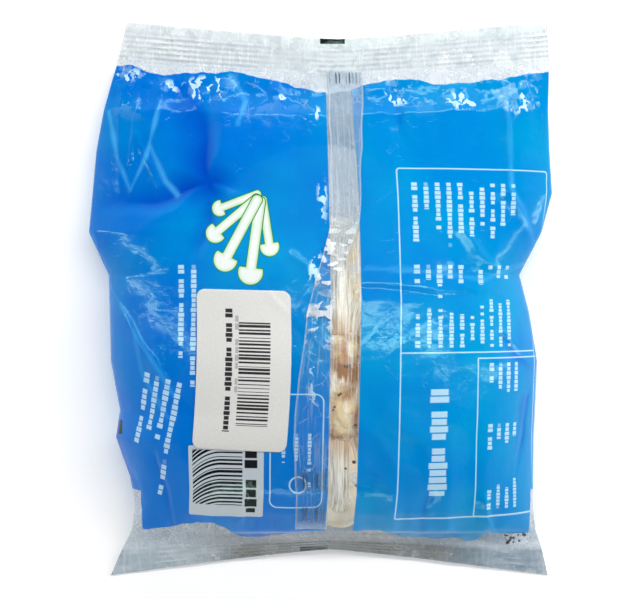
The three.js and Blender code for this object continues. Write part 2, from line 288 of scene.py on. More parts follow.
# heights from -0.5 to 0.5 on the flat triangles of a crushed sheet
def facets(x, y, pitch, seed):
    draw = np.random.default_rng(seed)
    halfWidth, halfLength, uneven = 95, 110, 0.6 * pitch
    rows, columns = int(2 * halfLength / pitch), int(2 * halfWidth / pitch)
    shape = (rows + 1, columns + 1)
    gridX = np.arange(columns + 1)[None, :] * pitch - halfWidth + uneven * (draw.random(shape) - 0.5)
    gridY = np.arange(rows + 1)[:, None] * pitch - halfLength + uneven * (draw.random(shape) - 0.5)
    gridZ = draw.random(shape) - 0.5
    px, py, heights = np.ravel(x), np.ravel(y), np.zeros(np.size(x))
    corners = [((i, j), (i, j + 1), (i + 1, j + 1)) for i in range(rows) for j in range(columns)]
    corners += [((i, j), (i + 1, j + 1), (i + 1, j)) for i in range(rows) for j in range(columns)]
    for a, b, c in corners:
        xs, ys = [gridX[k] for k in (a, b, c)], [gridY[k] for k in (a, b, c)]
        near = np.flatnonzero((px >= min(xs)) & (px <= max(xs)) & (py >= min(ys)) & (py <= max(ys)))
        dx, dy = px[near] - xs[0], py[near] - ys[0]
        bx, by, cx, cy = xs[1] - xs[0], ys[1] - ys[0], xs[2] - xs[0], ys[2] - ys[0]
        twice = bx * cy - cx * by
        toB, toC = (dx * cy - cx * dy) / twice, (bx * dy - dx * by) / twice
        within = (toB >= -1e-6) & (toC >= -1e-6) & (toB + toC <= 1 + 1e-6)
        z = gridZ[a] + toB * (gridZ[b] - gridZ[a]) + toC * (gridZ[c] - gridZ[a])
        heights[near[within]] = z[within]
    return heights.reshape(np.shape(x))


# each crease is a fold with a broad side and a steep side, and where valleys meet the deepest one counts
def handCreases(x, y):
    raised, sunk = np.zeros_like(x), np.zeros_like(x)
    for (x0, y0), (x1, y1), height, width in creases:
        length = math.hypot(x1 - x0, y1 - y0)
        along = ((x - x0) * (x1 - x0) + (y - y0) * (y1 - y0)) / length**2
        wobble = 0.12 * width * np.sin(along * 7 + x0)
        off = ((x - x0) * (y1 - y0) - (y - y0) * (x1 - x0)) / length + wobble
        off *= math.copysign(1, width)
        off = np.where(off > 0, off, -off * film["steepSide"])
        beyond = np.maximum(0, np.maximum(-along, along - 1)) * length
        taper = 1 - 0.55 * np.clip(along, 0, 1) ** 2
        fold = height * taper * np.maximum(0, 1 - np.hypot(off, beyond) / abs(width)) ** 1.15
        raised, sunk = raised + np.maximum(fold, 0), np.minimum(sunk, fold)
    return raised + sunk


# soft dents, and ridges that a bag gets from handling
def crumple(x, y, seed):
    return 0.8 * valueNoise(x, y * 0.8, 27, seed) + 0.5 * ridges(x, y, 13, seed + 3)


# folds that run out of an end seal and fade
def gathers(x, fromSeal, seed):
    folds = np.zeros_like(x)
    for pitch, height, reach, shift in ((19, 1, 20, 0.3), (11, 0.7, 13, 2.1), (6.3, 0.45, 8, 4)):
        phase = 2 * math.pi * x / pitch + shift + 1.6 * np.sin(x / 17 + seed)
        sharp = 2 / math.pi * np.arcsin(0.96 * np.sin(phase))
        folds += height * sharp * np.exp(-fromSeal / reach) * np.clip(fromSeal / 3, 0, 1)
    return folds


# the back's height without its folds: a is 0 in the middle and 1 at the side edges
def bulge(a, edge, crown):
    return edge + (crown - edge) * np.maximum(0, 1 - a**2.4) ** 0.75


# x, y, z in mm of the film at a row, u across from -1 to 1, on the back or on the front
def rowPoints(row, u, back):
    side, s = row
    a = np.abs(u)
    if side == "body":
        y, bow, left, right = s, *(straightThrough(s, k) for k in (1, 2, 3))
        crown, edge = smoothThrough(s, 4), smoothThrough(s, 6)
        floor, opened = max(0, straightThrough(s, 5)), straightThrough(s, 7)
        seal = topSeal if s > 0 else bottomSeal
        line = seal[0, 4] + (seal[0, 5] - seal[0, 4]) * a**1.5
        if back:
            z = (line + film["layer"]) * (1 - opened) + bulge(a, edge, crown) * opened
        else:
            past = np.maximum(0, a - 0.55) / 0.45
            full = edge - (edge - floor) * np.sqrt(np.maximum(0, 1 - past**2.2))
            z = (line - film["layer"]) * (1 - opened) + full * opened
    else:
        seal = topSeal if side == "top" else bottomSeal
        y, bow, left, right, centre, corner = seal[0] + (seal[1] - seal[0]) * s
        half = film["layer"] * (1 if s < 0.97 else (1 - s) / 0.03)
        z = centre + (corner - centre) * a**1.5 + (half if back else -half)
    x = (left + right) / 2 + (right - left) / 2 * u
    return x, y + bow * a**1.2, z


# how far a point is from the price label, in mm
def labelDistance(x, y):
    c, s = math.cos(-label["turn"]), math.sin(-label["turn"])
    dx, dy = x - label["centre"][0], y - label["centre"][1]
    a, b = np.abs(dx * c - dy * s) - label["size"][0] / 2, np.abs(dx * s + dy * c) - label["size"][1] / 2
    return np.hypot(np.maximum(a, 0), np.maximum(b, 0))


# all the folds on the back: crushed at the seals, the sides and the upper left, taut over the mushrooms
def backDetail(x, y, u):
    calm = 0.2 + 0.8 * smoothstep(labelDistance(x, y) / 7)
    inBody = smoothstep((y + 78) / 5) * smoothstep((73 - y) / 4)
    edge = np.maximum(0, 1 - np.abs(u) ** 7)
    toTop, toBottom = np.maximum(0, 74 - y), np.maximum(0, y + 79)
    crushed = 0.16 + 0.5 * smoothstep((np.abs(u) - 0.6) / 0.3) + 0.9 * np.exp(-toTop / 13)
    crushed += 0.8 * np.exp(-toBottom / 10) + 0.45 * smoothstep((-24 - x) / 20) * smoothstep((y + 4) / 25)
    crushed = np.minimum(crushed, 1.15)
    folds = handCreases(x, y) + crumple(x, y, 2)
    folds += crushed * film["largeHeight"] * facets(x, y, film["largeFacet"], 5)
    folds += crushed * film["smallHeight"] * facets(x, y, film["smallFacet"], 8)
    folds += gathers(x, toTop, 1) + 1.1 * gathers(x, toBottom, 5)
    folds += 0.9 * ridges(x, y, 3.4, 31) * (np.exp(-toTop / 6) + np.exp(-toBottom / 6))
    besideStrip = np.exp(-(((x - 2) / 5) ** 2)) * smoothstep((34 - y) / 8) * smoothstep((y + 70) / 10)
    folds += 0.9 * ridges(x, y, 4, 41) * besideStrip
    return folds * calm * inBody * edge


# z in mm of the back panel's surface over points away from the seals
def backHeight(x, y):
    x, y = np.asarray(x, float), np.asarray(y, float)
    left, right = straightThrough(y, 2), straightThrough(y, 3)
    u = np.clip((2 * x - left - right) / (right - left), -1, 1)
    a = np.abs(u)
    crown, edge, opened = smoothThrough(y, 4), smoothThrough(y, 6), straightThrough(y, 7)
    line = np.where(y > 0, topSeal[0, 4], bottomSeal[0, 4]) + film["layer"]
    return line * (1 - opened) + bulge(a, edge, crown) * opened + backDetail(x, y, u)


# how strong the painted highlight along the listed creases is, from 0 to 1
def creaseHighlight(x, y):
    most = np.zeros_like(x)
    wander = 0.8 * valueNoise(x, y, 7, 91)
    for points, amount in highlightCreases:
        for (x0, y0), (x1, y1) in zip(points, points[1:]):
            run = (x1 - x0) ** 2 + (y1 - y0) ** 2
            t = np.clip(((x - x0) * (x1 - x0) + (y - y0) * (y1 - y0)) / run, 0, 1)
            off = np.abs(np.hypot(x - x0 - t * (x1 - x0), y - y0 - t * (y1 - y0)) + wander)
            most = np.maximum(most, amount * np.maximum(0, 1 - off))
    return most


# how strong the painted glint on the crushed spots is, from 0 to 1
def crushedGlintHere(x, y):
    most = np.zeros_like(x)
    for (cx, cy), (rx, ry), amount in crushedGlintSpots:
        most = np.maximum(most, amount * np.maximum(0, 1 - np.hypot((x - cx) / rx, (y - cy) / ry) ** 2))
    return most


# the whole web of film as one closed skin, wound from the back round to the front
def makeFilm():
    topLength, bottomLength = topSeal[1, 0] - topSeal[0, 0], bottomSeal[0, 0] - bottomSeal[1, 0] + 2.5
    bottomRows, topRows = int(bottomLength / film["sealStep"]), int(topLength / film["sealStep"])
    bodyRows = int((filmRings[-1, 0] - filmRings[0, 0]) / film["bodyStep"])
    rows = [("bottom", s) for s in np.linspace(1, 0, bottomRows, endpoint=False)]
    rows += [("body", s) for s in np.linspace(filmRings[0, 0], filmRings[-1, 0], bodyRows, endpoint=False)]
    rows += [("top", s) for s in np.linspace(0, 1, topRows)]
    count, backs, fronts = len(rows), film["backColumns"], film["frontColumns"]
    columns = backs + fronts
    toRight, toLeft = np.linspace(0, 1, backs + 1), np.linspace(1, 0, fronts + 1)[1:]
    t = np.concatenate((toRight, toLeft))
    u = 0.55 * (2 * t - 1) + 0.45 * np.sin((t - 0.5) * math.pi)
    isBack = np.arange(columns + 1) <= backs
    position, place = np.zeros((count, columns + 1, 3)), np.zeros((count, columns + 1, 3))
    for i, row in enumerate(rows):
        onBack, onFront = rowPoints(row, u, True), rowPoints(row, u, False)
        position[i] = np.stack([np.where(isBack, b, f) for b, f in zip(onBack, onFront)], 1)
        steps = np.hypot(np.diff(position[i, :, 0]), np.diff(position[i, :, 2]))
        arc = np.concatenate(([0], np.cumsum(steps)))
        middle = np.interp(position[i, backs // 2, 1], strip["y"], strip["x"])
        place[i, :, 0] = arc - np.interp(middle, position[i, : backs + 1, 0], arc[: backs + 1])
        place[i, :, 1] = position[i, :, 1]
    x, y = position[..., 0], position[..., 1]
    back, across = np.broadcast_to(isBack, x.shape), np.broadcast_to(u, x.shape)
    bodyRow = np.array([r[0] == "body" for r in rows])[:, None]
    toTop, toBottom = np.maximum(0, 74 - y), np.maximum(0, y + 79)
    under = crumple(x, y, 11) + gathers(x, toTop, 2.2) + gathers(x, toBottom, 3.3)
    under += film["largeHeight"] * facets(x, y, film["largeFacet"], 15)
    fade = smoothstep((y + 78) / 5) * smoothstep((73 - y) / 4)
    under *= 0.5 * np.maximum(0, 1 - np.abs(across) ** 5) * fade
    z = position[..., 2] + np.where(bodyRow, np.where(back, backDetail(x, y, across), under), 0)

    # ribs pressed into both layers of the seals, and the waves of the seals themselves
    intoTop = np.array([r[1] if r[0] == "top" else 0 for r in rows])[:, None] * topLength
    intoBottom = np.array([r[1] if r[0] == "bottom" else 0 for r in rows])[:, None] * bottomLength
    ribs = np.zeros_like(intoTop)
    for into, ribbed in ((intoTop, 9.8), (intoBottom, 7.2)):
        wave = np.sin(2 * math.pi * into / film["ribPitch"])
        ribs += wave * smoothstep(into / 0.8) * smoothstep(ribbed - into)
    pressed = 0.55 + 0.45 * np.clip(2.5 * valueNoise(x, y * 0.3, 16, 51), -1, 1)
    inSeal = smoothstep(intoTop / 2) + smoothstep(intoBottom / 2)
    waves = 0.5 * valueNoise(x, y * 0.5, 14, 61) + 0.35 * ridges(x, y, 6, 63) + 0.5 * facets(x, y, 6, 21)
    z = z + ribs * film["ribDepth"] * pressed + waves * inSeal
    position[..., 2] = np.where(back, z, np.maximum(z, 0.02))

    bag, a, b = startGrid("film_bag", columns, count - 1)
    column, line = np.rint(a * columns).astype(int), np.rint(b * (count - 1)).astype(int)
    moveTo(bag, position[line, column])

    # how far a point is inside the print: negative on clear film
    halfStrip = np.interp(y, strip["y"], strip["half"])
    stripEdge = np.abs(x - np.interp(y, strip["y"], strip["x"])) - halfStrip
    ragged = 0.9 * valueNoise(x, y, 8, 71) + 0.5 * valueNoise(x, y, 3.2, 73)
    ragged += 0.25 * valueNoise(x, y, 1.4, 75)
    fromTop = np.interp(x, printTop["x"], printTop["y"]) - y
    fromBottom = y - np.interp(x, printBottom["x"], printBottom["y"])
    ink = np.minimum(fromTop, fromBottom) + ragged
    sides = np.minimum(x + 58.5, 68.5 - x) + 0.3 * ragged
    ink = np.minimum(ink, np.where(y < -62, sides, 9))
    window = (np.hypot(x / 47, (y + 6) / 58) - 1) * 50
    ink = np.minimum(ink, np.where(back, stripEdge, window))
    depth = np.where(back & bodyRow, handCreases(x, y) + 0.5 * crumple(x, y, 2), 0)
    attributes = {
        "ink": np.clip(ink, -9, 9), "fold": depth, "seal": inSeal * np.ones_like(x), "rib": ribs * pressed,
        # pale and crushed carry painted highlights: along the creases, and glints on the crushed spots
        "back": back * smoothstep((1 - np.abs(across)) / 0.02), "pale": back * creaseHighlight(x, y),
        "crushed": back * crushedGlintHere(x, y),
    }
    for name, values in attributes.items():
        keep(bag, name, values[line, column])
    keep(bag, "place", place[line, column])
    closeSkin(0.02 * mm)
    middles = np.array([face.center for face in bag.data.polygons]) / mm
    rightOf = middles[:, 0] > np.interp(middles[:, 1], strip["y"], strip["x"])
    bag.data.polygons.foreach_set("material_index", rightOf.astype(np.int32))
    return bag


# merges the doubles where a wound or pinched grid meets itself and turns its faces outwards
def closeSkin(within):
    bpy.ops.object.mode_set(mode="EDIT")
    bpy.ops.mesh.select_all(action="SELECT")
    bpy.ops.mesh.remove_doubles(threshold=within)
    bpy.ops.mesh.normals_make_consistent(inside=False)
    bpy.ops.object.mode_set(mode="OBJECT")
    bpy.ops.object.shade_smooth()


# distance in mm from a rounded rectangle that is printed on a sheet
def boxDistance(node, place, centre, half, radius):
    size = node("VectorMath", "ABSOLUTE", node("VectorMath", "SUBTRACT", place, (*centre, 0)))
    size = node("VectorMath", "SUBTRACT", size, (half[0] - radius, half[1] - radius, 1000))
    length = node("VectorMath", "LENGTH", node("VectorMath", "MAXIMUM", size, (0, 0, 0)))
    x, y = node("SeparateXYZ", size).node.outputs[:2]
    inner = node("MINIMUM", node("MAXIMUM", x, y), 0)
    return node("SUBTRACT", node("ADD", length, inner), radius)


def awayFrom(node, value, middle):
    return node("ABSOLUTE", node("SUBTRACT", value, middle))


def outlined(node, place, centre, half, radius, width):
    off = node("ABSOLUTE", boxDistance(node, place, centre, half, radius))
    return node("MapRange", off, width * 0.5, width * 0.5 + 0.12, 1, 0)


def filled(node, distance):
    return node("MapRange", distance, -0.06, 0.06, 1, 0)


def filledBox(node, place, centre, half, radius):
    return filled(node, boxDistance(node, place, centre, half, radius))


# rows of plain little blocks where small print stands: area is x0, x1, y0, y1 in mm, rows run down y
def blockRows(node, across, along, area, pitch, height, seed, longest, cell=1.3):
    x0, x1, y0, y1 = area
    scaled = node("DIVIDE", node("SUBTRACT", across, x0), pitch)
    row = node("FLOOR", scaled)
    offRow = awayFrom(node, node("FRACT", scaled), 0.5)
    draw = node("TexWhiteNoise", node("ADD", row, seed), noise_dimensions="1D")
    reach = node("MapRange", draw, 0, 1, 0.4 * longest, longest)
    depth = node("SUBTRACT", y1, along)
    started = node("GREATER_THAN", depth, 0)
    ended = node("LESS_THAN", depth, reach)
    cells = node("DIVIDE", depth, cell)
    spot = node("CombineXYZ", node("FLOOR", cells), row)
    tone = node("TexWhiteNoise", spot, noise_dimensions="2D")
    share = node("MapRange", tone, 0.14, 1, 0.3 * height / pitch, 0.5 * height / pitch)
    inRow = node("MapRange", node("SUBTRACT", offRow, share), -0.02, 0.03, 1, 0)
    tone = node("MapRange", tone, 0.14, 0.16, 0, 1)
    offCell = awayFrom(node, node("FRACT", cells), 0.5)
    block = node("MapRange", offCell, 0.38, 0.44, 1, 0)
    left = node("GREATER_THAN", across, x0)
    right = node("LESS_THAN", across, x1)
    low = node("GREATER_THAN", along, y0)
    return node("MULTIPLY", inRow, started, ended, tone, block, left, right, low)


# one bar of its own width in each cell of a plain bar pattern
def bars(node, along, cell, seed):
    cells = node("DIVIDE", along, cell)
    number = node("ADD", node("FLOOR", cells), seed)
    width = node("TexWhiteNoise", number, noise_dimensions="1D")
    width = node("MapRange", width, 0, 1, 0.16, 0.8)
    return node("LESS_THAN", node("FRACT", cells), width)


# straight thin creases of stiff film that has been crushed: mesh is the size of its facets in mm
def creaseLines(node, place, mesh, seed):
    moved = node("Mapping", {"Vector": place, "Location": (seed, seed * 1.7, 0)})
    edge = node("TexVoronoi", {"Vector": moved, "Scale": 1 / mesh}, feature="DISTANCE_TO_EDGE")
    thin = node("MapRange", edge, 0, 0.045, 1, 0)
    some = node("TexNoise", {"Vector": moved, "Scale": 0.8 / mesh, "Detail": 1})
    return node("MULTIPLY", thin, node("MapRange", some, 0.5, 0.62))


# noise drawn out into streaks along the axes where its scale is small
def streaks(node, place, scale, detail, *limits):
    drawn = node("Mapping", {"Vector": place, "Scale": (*scale, 1)})
    return node("MapRange", node("TexNoise", {"Vector": drawn, "Scale": 1, "Detail": detail}), *limits)


# facets that catch the light, a few out of many
def litFacets(node, place, mesh, seed, above):
    moved = node("Mapping", {"Vector": place, "Location": (seed, seed * 0.6, 0)})
    tone = node("TexVoronoi", {"Vector": moved, "Scale": 1 / mesh}, out=1)
    return node("MapRange", tone, above, above + 0.1)


# the print's colours, with painted shade for the folds and painted highlights for the creases and crushed
# film
inks = {name: srgb(colour) for name, colour in {
    "blue": "0072d3", "overWhite": "0099d1", "folded": "0034b8", "creaseHighlight": "4cb4f2", "crushed": "bfe4f6",
    "lines": "c4e8f8", "barPanel": "c4cfd6", "bars": "15171c", "marks": "0b0c10",
    "bunchEdge": "12863c", "bunch": "eaf0ee", "bunchRim": "b4dc9c",
}.items()}
# the colours of clear film: plain, lit, shaded, dirtied by crumbs, and the painted shade and sheen of its
# bottom end
tints = {name: srgb(colour) for name, colour in {
    "plain": "dfe7eb", "lit": "fbfcfc", "shaded": "7d95a4", "crumbs": "3a1c14",
    "left": "b4c6d2", "right": "7492aa", "middle": "5e5a4a", "gloss": "d6e0e6",
}.items()}

# a plain bunch of mushrooms printed on the back, in mm from the strip: foot, cap, stem radius, cap radius
bunch = [
    ((-27.5, 33.5), (-39.5, 29), 1.2, 2.6), ((-25.8, 31.5), (-23.6, 16.5), 1.3, 3),
    ((-27.8, 32), (-40.8, 21), 1.4, 3.2), ((-26.6, 31), (-29.6, 8.5), 1.6, 3.9),
    ((-27.6, 31.5), (-37.6, 12.5), 1.6, 3.8),
]


def printedBunch(node, place, ground):
    for foot, cap, stemRadius, capRadius in bunch:
        run = (cap[0] - foot[0], cap[1] - foot[1], 0)
        length = math.hypot(*run)
        unit = (run[0] / length, run[1] / length, 0)
        fromFoot = node("VectorMath", "SUBTRACT", place, (*foot, 0))
        along = node("VectorMath", "DOT_PRODUCT", fromFoot, unit)
        onStem = node("MAXIMUM", node("MINIMUM", along, length), 0)
        nearest = node("VectorMath", "SCALE", unit, onStem)
        stem = node("SUBTRACT", node("VectorMath", "DISTANCE", fromFoot, nearest), stemRadius)
        dome = node("SUBTRACT", node("VectorMath", "DISTANCE", place, (*cap, 0)), capRadius)
        underside = node("SUBTRACT", length - 0.35 * capRadius, along)
        head = node("MAXIMUM", dome, underside)
        shape = node("MINIMUM", head, stem)
        edge = filled(node, node("SUBTRACT", shape, 0.32))
        ground = node("Mix", "RGBA", edge, ground, inks["bunchEdge"])
        shade = node("MapRange", shape, -1, 0, 0, 0.85)
        ink = node("Mix", "RGBA", shade, inks["bunch"], inks["bunchRim"])
        ground = node("Mix", "RGBA", filled(node, shape), ground, ink)
    return ground


# biaxially stretched polypropylene, gravure printed on its inside: deep even ink under a clear gloss
def printedFilm(name, printing):
    material, node, place, across, along = startSheet(name)
    # pale and crushed carry the painted crease highlights and the painted glints of crushed film
    ink, fold, seal, onBack, rib, creaseHighlightMask, crushed = [
        node("Attribute", out=2, attribute_name=name)
        for name in ("ink", "fold", "seal", "back", "rib", "pale", "crushed")]
    printed = node("MapRange", ink, -0.12, 0.12)

    # the ink looks paler and greener where white mushrooms lie close behind it, and painted shade makes it
    # deeper in the folds
    middle = node("VectorMath", "DISTANCE", place, (-8, 10, 0))
    pale = node("MapRange", middle, 5, 68, 0.55, 0)
    pale = node("MAXIMUM", pale, node("MapRange", across, -45, 20, 0, 0.6))
    cloud = node("TexNoise", {"Vector": place, "Scale": 0.03, "Detail": 2})
    pale = node("ADD", pale, node("MapRange", cloud, 0.4, 0.65, -0.15, 0.3), use_clamp=True)
    blue = node("Mix", "RGBA", pale, inks["blue"], inks["overWhite"])
    deep = node("MapRange", fold, -0.35, -1.7, 0, 0.85)
    blue = node("Mix", "RGBA", deep, blue, inks["folded"])
    ground = printing(node, place, across, along, blue)

    # torn: the surface's place, pushed about so that the cells of crushed film get ragged edges
    pushed = node("TexNoise", {"Vector": place, "Scale": 0.4, "Detail": 3}, out=1)
    pushed = node("VectorMath", "SUBTRACT", pushed, (0.5, 0.5, 0.5))
    torn = node("VectorMath", "ADD", node("VectorMath", "SCALE", pushed, 3.5), place)

    # painted highlights: white creases and lit facets run a little way over the print below the top seal and
    # beside the seam
    net = node("MAXIMUM", creaseLines(node, torn, 9, 0), creaseLines(node, torn, 4, 3))
    nearTop = node("MapRange", along, 58, 74)
    gleam = node("MULTIPLY", litFacets(node, torn, 5.5, 4, 0.6), 0.3)
    patch = node("TexNoise", {"Vector": place, "Scale": 0.06, "Detail": 2})
    patchy = node("MapRange", patch, 0.47, 0.6)
    overPrint = node("MULTIPLY", node("MAXIMUM", net, gleam), nearTop, patchy)
    slant = node("Mapping", {"Vector": torn, "Rotation": (0, 0, math.radians(24)), "Scale": (1, 0.55, 1)})
    glintPatches = node("MULTIPLY", litFacets(node, slant, 1.5, 13, 0.52),
                  litFacets(node, slant, 3.4, 2, 0.45), crushed)
    glintPatches = node("MapRange", glintPatches, 0.15, 0.55)
    # painted highlight along the creases, then painted glints and lit facets over it
    ground = node("Mix", "RGBA", creaseHighlightMask, ground, inks["creaseHighlight"])
    overPrint = node("MAXIMUM", overPrint, glintPatches)
    ground = node("Mix", "RGBA", overPrint, ground, inks["crushed"])
    ground = node("Mix", "RGBA", onBack, blue, ground)

    # clear film: a light haze, with painted white highlights where it is creased or ribbed, and painted shade
    # that makes the steep bottom end greyer
    glintStreaks = streaks(node, place, (0.9, 0.12), 3, 0.52, 0.68)
    ribLight = node("MULTIPLY", node("MapRange", rib, 0.3, 0.8), patchy)
    sparkles = node("MULTIPLY", litFacets(node, torn, 1, 7, 0.74), patchy)
    sheen = node("MULTIPLY", litFacets(node, torn, 4.2, 1, 0.6), patchy, 0.6)
    onSeal = node("MapRange", seal, 0.4, 1, 1, 0.45)
    lit = node("MAXIMUM", node("MULTIPLY", net, onSeal), ribLight, sheen, sparkles,
               node("MULTIPLY", glintStreaks, 0.45))
    toEnd = node("MapRange", along, -57, -75)
    lit = node("MULTIPLY", lit, node("MapRange", toEnd, 0.3, 1, 1, 0.45))
    lit = node("MAXIMUM", lit, glintPatches)
    offMiddle = node("ABSOLUTE", across)
    # the bottom end's colours are painted shade, darker at the sides and taupe in the middle, with painted
    # sheen streaks from the gloss tint
    sides = node("Mix", "RGBA", node("MapRange", across, -45, 20), tints["left"], tints["right"])
    taupe = node("MapRange", offMiddle, 32, 52, 1, 0)
    bottomShadeAndSheen = node("Mix", "RGBA", taupe, sides, tints["middle"])
    smooth = streaks(node, place, (0.06, 0.2), 2, 0.42, 0.66, 0, 0.75)
    smooth = node("MULTIPLY", smooth, node("MapRange", taupe, 0, 1, 1, 0.2))
    bottomShadeAndSheen = node("Mix", "RGBA", smooth, bottomShadeAndSheen, tints["gloss"])
    tint = node("Mix", "RGBA", toEnd, tints["plain"], bottomShadeAndSheen)
    shaded = node("MULTIPLY", litFacets(node, torn, 2.2, 11, 0.6), 0.25)
    tint = node("Mix", "RGBA", shaded, tint, tints["shaded"])

    # painted highlights: bright lines of the seam's foot, drawn out along the strip
    drawn = streaks(node, place, (1.3, 0.05), 2, 0.5, 0.62)
    fromBright = awayFrom(node, along, 7)
    drawn = node("MULTIPLY", drawn, node("MapRange", fromBright, 10, 65, 0.85, 0.05))
    notStrip = node("MapRange", offMiddle, 5.5, 7.5)
    inStrip = node("SUBTRACT", 1, notStrip)
    lit = node("Mix", "FLOAT", notStrip, drawn, node("MULTIPLY", lit, 0.85))
    tint = node("Mix", "RGBA", lit, tint, tints["lit"])
    haze = node("MapRange", along, 36, 74, 0.06, 0.3)
    milky = node("MULTIPLY", inStrip, node("MapRange", along, 8, 42, 0, 0.27))
    haze = node("ADD", haze, milky, node("MULTIPLY", seal, 0.24),
                node("MULTIPLY", toEnd, 0.3), node("MULTIPLY", lit, 0.5))

    # crumbs in the corner, and the black marks that the wrapping machine steers by
    corner = filledBox(node, place, (59.5, -79), (4.5, 2.4), 1.5)
    crumbs = node("MULTIPLY", litFacets(node, place, 1, 19, 0.66), corner)
    spot = node("VectorMath", "SCALE", node("TexCoord", out=3), 1 / mm)
    marks = [filledBox(node, where, centre, half, 0.1) for where, centre, half in (
        (place, (-1.8, 85.6), (4.1, 1.3)), (place, (-7.9, -83), (4.6, 1)),
        (spot, (-65.6, -41.3), (1.3, 2.3)))]
    marks = node("MULTIPLY", node("MAXIMUM", *marks), onBack)
    base = node("Mix", "RGBA", printed, tint, ground)
    base = node("Mix", "RGBA", crumbs, base, tints["crumbs"])
    base = node("Mix", "RGBA", marks, base, inks["marks"])
    haze = node("MULTIPLY", haze, node("MapRange", corner, 0, 1, 1, 0.35))
    solid = node("MAXIMUM", printed, marks, crumbs)
    alpha = node("Mix", "FLOAT", solid, haze, 0.99)
    fine = node("TexNoise", {"Vector": place, "Scale": 0.3, "Detail": 3, "Roughness": 0.5})
    crinkled = node("TexNoise", {"Vector": place, "Scale": 0.55, "Detail": 2, "Distortion": 0.8})
    clear = node("SUBTRACT", 1.6, node("MULTIPLY", printed, 1.6))
    crinkled = node("MULTIPLY", crinkled, clear)
    relief = node("ADD", fine, crinkled, node("MULTIPLY", net, 0.25))
    bump = node("Bump", {"Strength": 0.3, "Distance": 0.4 * mm, "Height": relief})
    # the index is set under the real 1.49, and the sheen is tinted, so that light on the film stays cyan
    shader = node("BsdfPrincipled", {
        "Base Color": base, "Alpha": alpha, "Normal": bump, "Roughness": 0.12, "IOR": 1.28,
        "Specular Tint": (0.5, 1, 0.75, 1)})
    node("OutputMaterial", {"Surface": shader})
    return material


# frames and rows of blocks on a panel, in pale ink
def panelPrint(node, blue, *shapes):
    both = node("MULTIPLY", node("MAXIMUM", *shapes), 0.8)
    return node("Mix", "RGBA", both, blue, inks["lines"])


# the print on the back, with no words in it, in mm from the strip: here what is right of the seam
def rightPrint(node, place, across, along, blue):
    rows = partial(blockRows, node, across, along)
    upwards = partial(blockRows, node, across, node("SUBTRACT", 0, along))
    return panelPrint(
        node, blue,
        outlined(node, place, (43.6, -13.7), (26.4, 55.7), 1, 0.3),
        outlined(node, place, (43.6, -42.9), (26.4, 26.4), 0.5, 0.3),
        outlined(node, place, (57.6, -43.8), (14.2, 25.4), 0.3, 0.3),
        rows((20.7, 58.2, 13, 37.5), 3.75, 1.9, 3, 22, 1.4),
        rows((20.7, 58.2, 4, 11), 3.75, 2, 13, 7, 1.5),
        upwards((20.7, 58.2, -4, 15), 3.75, 1.7, 23, 19, 1.1),
        rows((46.8, 61.2, -33, -19.8), 3.6, 1.8, 33, 13, 1.4),
        rows((46.8, 61.2, -50, -39), 3.6, 1.9, 43, 9, 1.4),
        upwards((46.8, 61.2, 56, 67), 3.6, 1.6, 47, 11, 1.1),
        rows((26, 34, -61.5, -27.5), 8, 6.2, 51, 90, 2.3),
    )


def leftPrint(node, place, across, along, blue):
    rows = partial(blockRows, node, across, along)
    # the rows beside the left fold lean, because the film is drawn in there
    tilted = node("Mapping", {"Vector": place, "Rotation": (0, 0, math.radians(13))})
    leaning = partial(blockRows, node, *node("SeparateXYZ", tilted).node.outputs[:2])
    ground = panelPrint(
        node, blue,
        outlined(node, place, (-14.4, -47), (8.1, 18), 2.5, 0.3),
        outlined(node, place, (-13.8, -57.4), (2.6, 2.6), 2.6, 0.4),
        rows((-20.4, -8.4, -63, -41), 4, 1.2, 63, 20, 1.1),
        rows((-54.5, -45.9, -34, 11), 4.3, 2.1, 53, 45, 1.5),
        leaning((-60.5, -43.3, -78, -37), 4.3, 2.4, 59, 40, 1.8),
    )
    ground = printedBunch(node, place, ground)

    # a bar panel, its bars swept down towards the fold
    panel = filledBox(node, place, (-36.9, -57), (12.4, 11.6), 0.6)
    ground = node("Mix", "RGBA", panel, ground, inks["barPanel"])
    past = node("MINIMUM", node("ADD", across, 38), 0)
    swept = node("MULTIPLY", node("POWER", past, 2), 0.045)
    barred = bars(node, node("ADD", along, swept), 1.25, 5)
    barArea = filledBox(node, place, (-39.6, -55.6), (8.4, 9), 0.1)
    numbers = rows((-31, -26, -67, -46), 5, 4, 71, 50, 3.2)
    dark = node("MAXIMUM", node("MULTIPLY", barred, barArea), numbers)
    return node("Mix", "RGBA", dark, ground, inks["bars"])


fin = {"width": 10.8, "bottom": -73, "top": 75, "turnFrom": -6, "turnTo": 28, "thickness": 0.3,
       "lift": 0.55, "ribPitch": 1.05, "ribDepth": 0.16, "rows": 330, "columns": 44}
